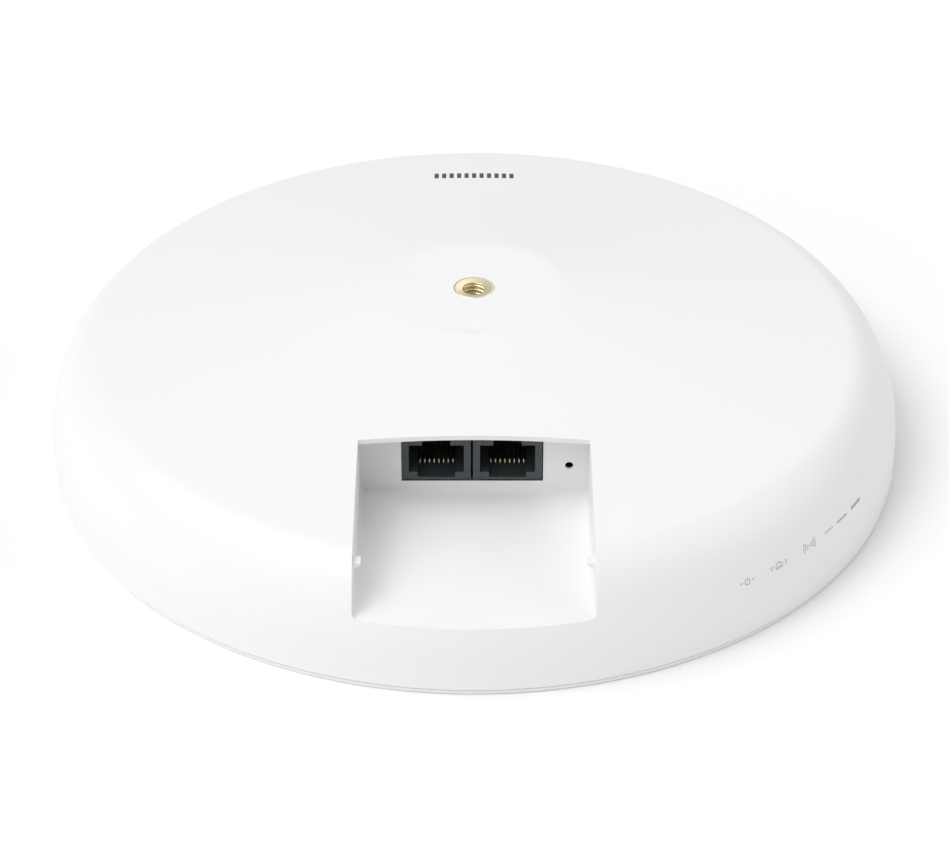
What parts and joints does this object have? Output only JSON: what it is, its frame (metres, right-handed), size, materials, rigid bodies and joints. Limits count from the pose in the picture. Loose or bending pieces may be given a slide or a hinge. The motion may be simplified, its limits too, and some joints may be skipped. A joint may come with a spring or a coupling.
{
  "type": "ceiling access point",
  "caption": "Round white disc-shaped radio unit with a shallow conical back, a central threaded insert and an open cable bay holding network jacks and a reset pinhole.",
  "frame": {"origin": "centre of the flat front face, which the unit lies on", "axes": "+Z out of the back, along the threaded insert; -Y out of the cable bay; +X to the right when looking into the bay with the back up"},
  "size_m": [0.19, 0.19, 0.04],
  "materials": {
    "shell_plastic": "satin moulded white, very fine spark-eroded grain",
    "radome_plastic": "satin moulded white, a little smoother than the back",
    "silicone_seal": "matte silicone",
    "insert_brass": "turned and bright",
    "jack_plastic": "fine moulded grain, dark slate grey",
    "carrier_plastic": "matte",
    "contact_gold": "gold plated, polished",
    "switch_plastic": "satin",
    "plunger_plastic": "satin",
    "board_laminate": "solder mask over copper",
    "plated_steel": "zinc or nickel plated",
    "chip_epoxy": "matte moulded epoxy",
    "ceramic": "glazed",
    "winding_tape": "polyester tape",
    "ferrite": "pressed ferrite",
    "capacitor_can": "satin can",
    "tinned_steel": "tin plated sheet",
    "thermal_silicone": "soft filled silicone",
    "cast_aluminium": "satin",
    "nylon": "natural nylon",
    "led_resin": "clear resin over phosphor",
    "clear_acrylic": "clear moulded acrylic",
    "reflector_aluminium": "rolled sheet",
    "antenna_laminate": "bare glass laminate",
    "copper_foil": "etched copper",
    "lead_jacket": "fluoropolymer jacket"
  },
  "bodies": {
    "housing": {"back_cover": "shell_plastic", "front_cover": "radome_plastic", "cover_seal": "silicone_seal", "threaded_insert": "insert_brass", "jack_left_housing": "jack_plastic", "jack_right_housing": "jack_plastic", "jack_left_carrier": "carrier_plastic", "jack_right_carrier": "carrier_plastic", "jack_left_tails": "contact_gold", "jack_right_tails": "contact_gold", "reset_switch": "switch_plastic", "main_board": "board_laminate", "board_standoffs": "plated_steel", "processor": "chip_epoxy", "radio_chip": "chip_epoxy", "memory_chips": "chip_epoxy", "flash_chip": "chip_epoxy", "switch_chip": "chip_epoxy", "clock_crystal": "plated_steel", "lan_transformers": "chip_epoxy", "surge_arrestors": "ceramic", "power_transformer": "winding_tape", "power_inductors": "ferrite", "power_capacitors": "capacitor_can", "shield_frame": "tinned_steel", "shield_lid": "tinned_steel", "thermal_pad": "thermal_silicone", "heat_spreader": "cast_aluminium", "spreader_pins": "nylon", "status_leds": "led_resin", "light_guide": "clear_acrylic", "antenna_reflector": "reflector_aluminium", "reflector_screws": "plated_steel", "antenna_spacers": "nylon", "antenna_board": "antenna_laminate", "antenna_patches": "copper_foil", "antenna_feed_lines": "copper_foil", "coax_leads": "lead_jacket", "coax_connectors": "contact_gold"},
    "reset_plunger": {"reset_plunger": "plunger_plastic"},
    "jack_left_springs": {"jack_left_contacts": "contact_gold"},
    "jack_right_springs": {"jack_right_contacts": "contact_gold"}
  },
  "joints": [
    {"name": "reset_press", "type": "slide", "parent": "housing", "child": "reset_plunger", "axis": [0, 1, 0], "range_m": [0, 0.00025], "stiffness_N_per_m": 6000},
    {"name": "left_contact_flex", "type": "hinge", "parent": "housing", "child": "jack_left_springs", "pos_m": [-0.00805, -0.0383, 0.0199], "axis": [-1, 0, 0], "range_deg": [0, 9], "stiffness_Nm_per_rad": 0.09},
    {"name": "right_contact_flex", "type": "hinge", "parent": "housing", "child": "jack_right_springs", "pos_m": [0.00715, -0.0383, 0.0199], "axis": [-1, 0, 0], "range_deg": [0, 9], "stiffness_Nm_per_rad": 0.09}
  ]
}
